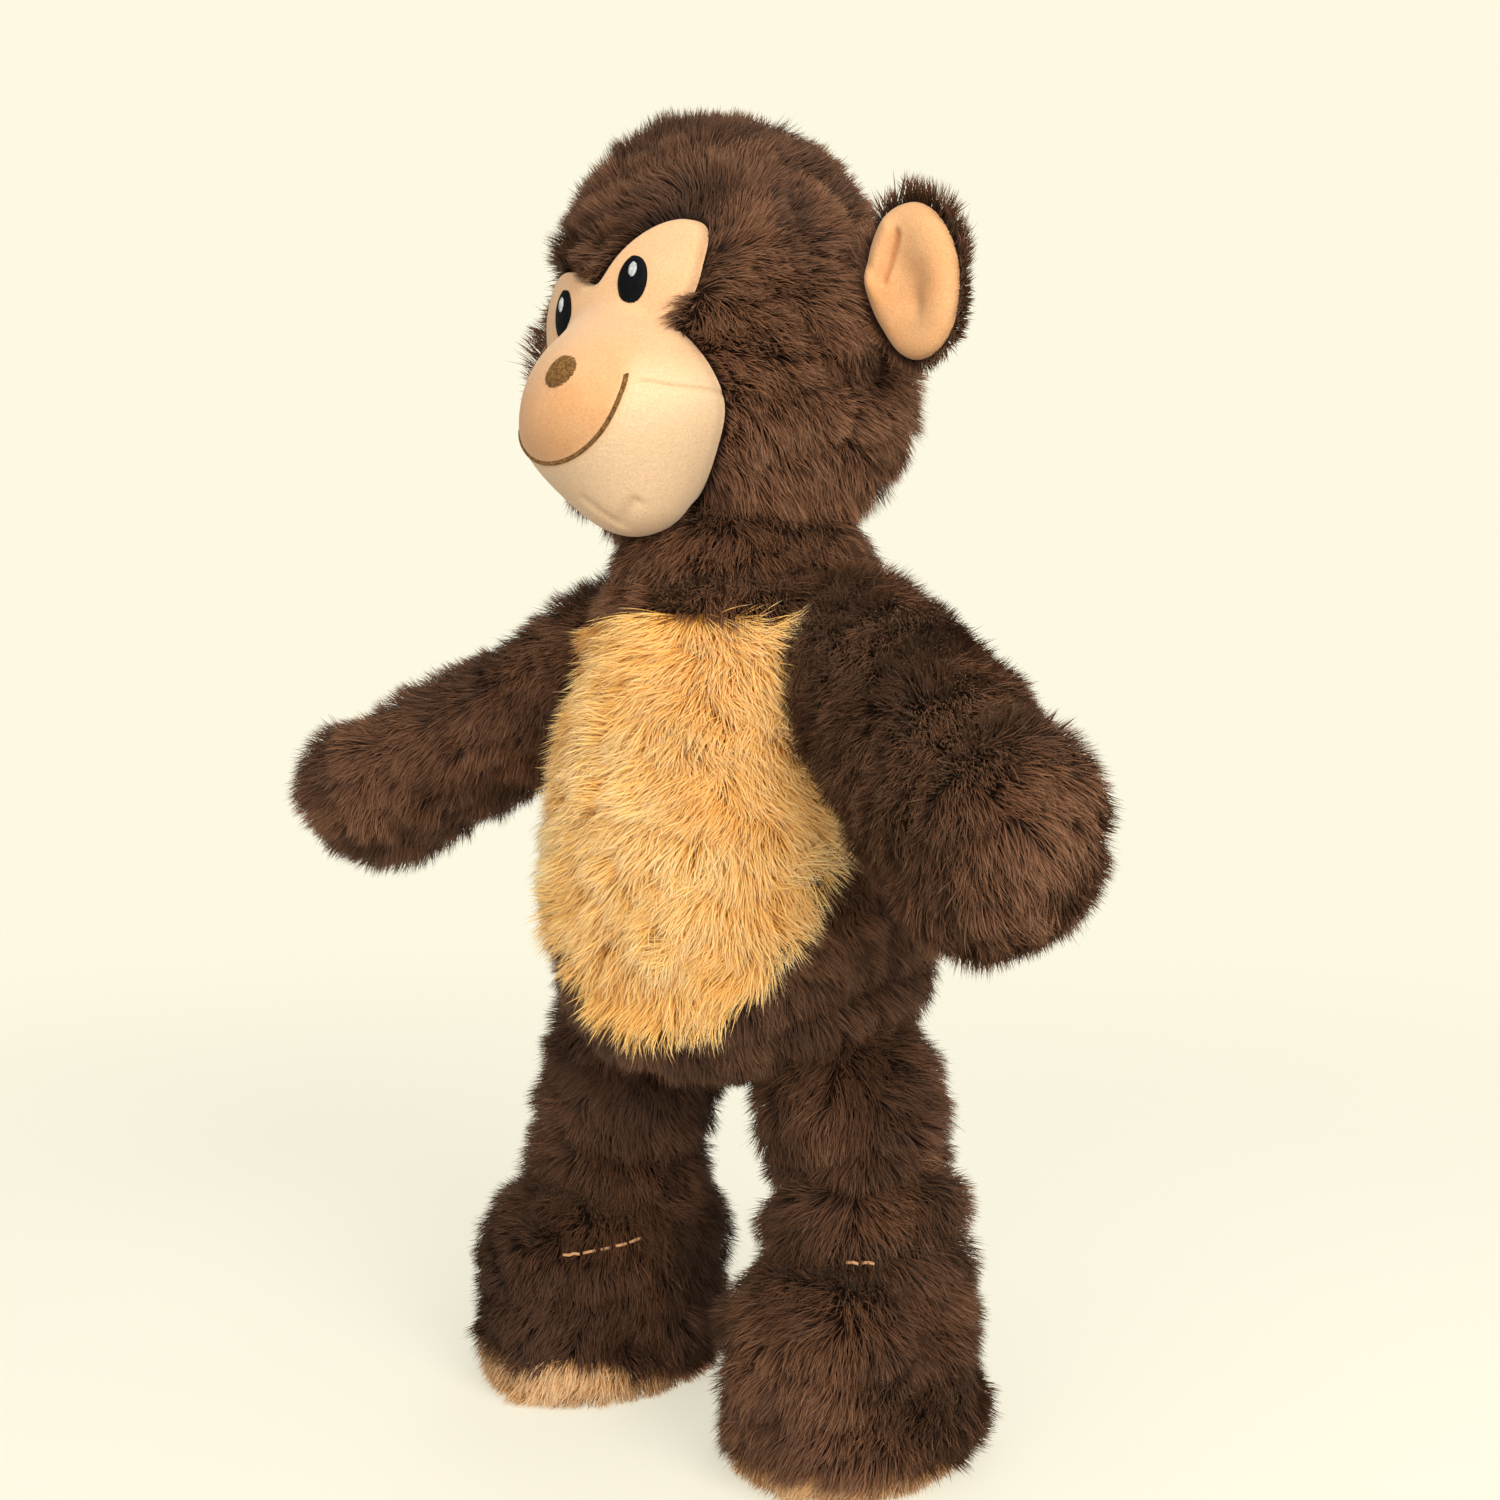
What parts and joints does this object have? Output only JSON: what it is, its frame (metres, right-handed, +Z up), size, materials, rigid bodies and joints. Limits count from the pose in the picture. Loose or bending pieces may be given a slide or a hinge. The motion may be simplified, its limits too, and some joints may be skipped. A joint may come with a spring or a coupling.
{
  "type": "stuffed monkey",
  "caption": "Plush monkey standing on flat furry feet, with long brown pile, a velour face, a pale belly patch, ears that fold and limbs and head that swing.",
  "frame": {"origin": "centre of the bounding box's bottom face, on the floor between the two soles", "axes": "+Z up from the soles to the top of the head, -Y the way the face looks, +X to the monkey's left"},
  "size_m": [0.2748, 0.136, 0.3948],
  "materials": {
    "brown_fur": "long dark brown plush pile in soft tufts",
    "belly_fur": "long golden tan plush pile with paler tips",
    "sole_fur": "short tan plush pile",
    "face_velour": "short smooth peach velour",
    "black_embroidery": "satin stitched black thread with a slight sheen",
    "light_embroidery": "satin stitched pale grey thread",
    "brown_embroidery": "stitched golden brown thread",
    "seam_thread_brown": "matt dark brown sewing thread",
    "seam_thread_tan": "matt tan sewing thread",
    "stuffing": "loose white polyester fibre"
  },
  "bodies": {
    "torso": {"torso_cover": "brown_fur", "belly_patch": "belly_fur", "torso_stuffing": "stuffing", "back_closing_stitches": "seam_thread_brown"},
    "neck": {"neck_cover": "brown_fur", "neck_stuffing": "stuffing", "neck_seam_thread": "seam_thread_brown"},
    "head": {"head_cover": "brown_fur", "head_stuffing": "stuffing", "face_patch": "face_velour", "chin_patch": "face_velour", "muzzle_stuffing": "stuffing", "muzzle_seam_thread": "seam_thread_tan", "nose_embroidery": "brown_embroidery", "mouth_embroidery": "brown_embroidery", "eye_left_embroidery": "black_embroidery", "eye_right_embroidery": "black_embroidery", "eye_left_glint": "light_embroidery", "eye_right_glint": "light_embroidery"},
    "ear_left": {"ear_left_front": "face_velour", "ear_left_back": "brown_fur"},
    "arm_left": {"arm_left_cover": "brown_fur", "arm_left_stuffing": "stuffing", "shoulder_left_seam_thread": "seam_thread_brown"},
    "leg_left": {"leg_left_cover": "brown_fur", "leg_left_stuffing": "stuffing", "hip_left_seam_thread": "seam_thread_brown"},
    "foot_left": {"foot_left_cover": "brown_fur", "foot_left_stuffing": "stuffing", "foot_left_sole": "sole_fur", "instep_left_seam_thread": "seam_thread_tan"},
    "ear_right": {"ear_right_front": "face_velour", "ear_right_back": "brown_fur"},
    "arm_right": {"arm_right_cover": "brown_fur", "arm_right_stuffing": "stuffing", "shoulder_right_seam_thread": "seam_thread_brown"},
    "leg_right": {"leg_right_cover": "brown_fur", "leg_right_stuffing": "stuffing", "hip_right_seam_thread": "seam_thread_brown"},
    "foot_right": {"foot_right_cover": "brown_fur", "foot_right_stuffing": "stuffing", "foot_right_sole": "sole_fur", "instep_right_seam_thread": "seam_thread_tan"}
  },
  "joints": [
    {"name": "neck_turn", "type": "hinge", "parent": "torso", "child": "neck", "pos_m": [0, 0.009, 0.257], "axis": [0, 0, 1], "range_deg": [-35, 35]},
    {"name": "head_nod", "type": "hinge", "parent": "neck", "child": "head", "pos_m": [0, 0.009, 0.262], "axis": [1, 0, 0], "range_deg": [-15, 15]},
    {"name": "ear_left_fold", "type": "hinge", "parent": "head", "child": "ear_left", "pos_m": [0.04571, 0.011, 0.34416], "axis": [-0.1564, 0, 0.9877], "range_deg": [-30, 30]},
    {"name": "ear_right_fold", "type": "hinge", "parent": "head", "child": "ear_right", "pos_m": [-0.06886, 0.011, 0.32602], "axis": [-0.1564, 0, 0.9877], "range_deg": [-30, 30]},
    {"name": "shoulder_left_swing", "type": "hinge", "parent": "torso", "child": "arm_left", "pos_m": [0.046, 0.005, 0.234], "axis": [-0.473, -0.881, 0], "range_deg": [-20, 70]},
    {"name": "shoulder_right_swing", "type": "hinge", "parent": "torso", "child": "arm_right", "pos_m": [-0.046, 0.005, 0.234], "axis": [-0.473, 0.881, 0], "range_deg": [-20, 70]},
    {"name": "hip_left_swing", "type": "hinge", "parent": "torso", "child": "leg_left", "pos_m": [0.036, 0.009, 0.099], "axis": [-1, 0, 0], "range_deg": [-20, 75]},
    {"name": "hip_right_swing", "type": "hinge", "parent": "torso", "child": "leg_right", "pos_m": [-0.036, 0.009, 0.099], "axis": [-1, 0, 0], "range_deg": [-20, 75]},
    {"name": "ankle_left_flex", "type": "hinge", "parent": "leg_left", "child": "foot_left", "pos_m": [0.05, 0.004, 0.038], "axis": [1, 0, 0], "range_deg": [-20, 20]},
    {"name": "ankle_right_flex", "type": "hinge", "parent": "leg_right", "child": "foot_right", "pos_m": [-0.05, 0.004, 0.038], "axis": [1, 0, 0], "range_deg": [-20, 20]}
  ]
}
